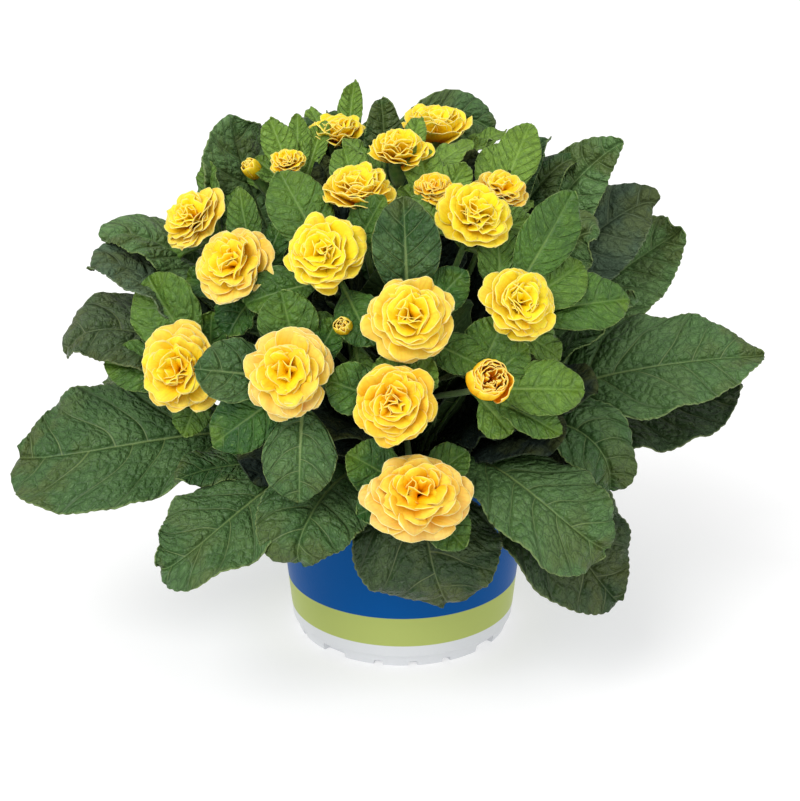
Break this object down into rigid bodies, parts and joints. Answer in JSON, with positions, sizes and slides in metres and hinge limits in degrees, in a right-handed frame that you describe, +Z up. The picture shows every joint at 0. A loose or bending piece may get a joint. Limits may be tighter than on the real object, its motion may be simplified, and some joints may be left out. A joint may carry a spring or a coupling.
{
  "type": "potted primrose",
  "caption": "Double-flowered yellow primrose in a round tapered plastic nursery pot: a dome of ruffled blooms on slender stalks above a rosette of broad crinkled leaves.",
  "frame": {"origin": "centre of the pot's flat underside, on the surface it stands on", "axes": "+Z up along the pot's axis, -Y towards the plant's front, +X to the right seen from the front"},
  "size_m": [0.3339, 0.27, 0.2418],
  "materials": {
    "pot": "smooth moulded plastic with a printed blue field, a green band and a white base",
    "soil": "dark crumbly potting mix of peat and bark",
    "leaf": "matt quilted leaf, dark green with a pale midrib",
    "shoot": "matt light green stalks, calyces and young leaves",
    "petals": "soft matt lemon-yellow petals with paler edges"
  },
  "bodies": {
    "root": {"pot": "pot", "soil": "soil", "leaf_left_broad": "leaf", "leaf_left_lower": "leaf", "leaf_front_left": "leaf", "leaf_front": "leaf", "leaf_front_right": "leaf", "leaf_right_low": "leaf", "leaf_right_folded": "leaf", "leaf_right_under": "leaf", "leaf_right_broad": "leaf", "leaf_right_mid": "leaf", "leaf_right_upper": "leaf", "leaf_right_back": "leaf", "leaf_right_grey": "leaf", "leaf_right_pointed": "leaf", "leaf_left_upper": "leaf", "leaf_left_middle": "leaf", "leaf_left_side": "leaf", "leaf_back_left_tall": "leaf", "leaf_back_tall": "leaf", "leaf_back_right_tall": "leaf", "leaf_back_right_low": "leaf", "leaf_back_low": "leaf", "leaf_back_middle": "leaf", "leaf_back_left_low": "leaf", "leaf_left_back_low": "leaf", "leaf_back_left_middle": "leaf", "shoot_front": "shoot", "shoot_right": "shoot", "shoot_back_right": "shoot", "shoot_back_left": "shoot", "shoot_left": "shoot", "bloom_01_petals": "petals", "bloom_02_petals": "petals", "bloom_03_petals": "petals", "bloom_04_petals": "petals", "bloom_05_petals": "petals", "bloom_06_petals": "petals", "bloom_07_petals": "petals", "bloom_08_petals": "petals", "bloom_09_petals": "petals", "bloom_10_petals": "petals", "bloom_11_petals": "petals", "bloom_12_petals": "petals", "bloom_13_petals": "petals", "bloom_14_petals": "petals", "bloom_15_petals": "petals", "bloom_16_petals": "petals", "bloom_17_petals": "petals", "bloom_18_petals": "petals", "bloom_19_petals": "petals", "bloom_20_petals": "petals", "bloom_21_petals": "petals", "bloom_22_petals": "petals", "bloom_23_petals": "petals"}
  },
  "joints": []
}
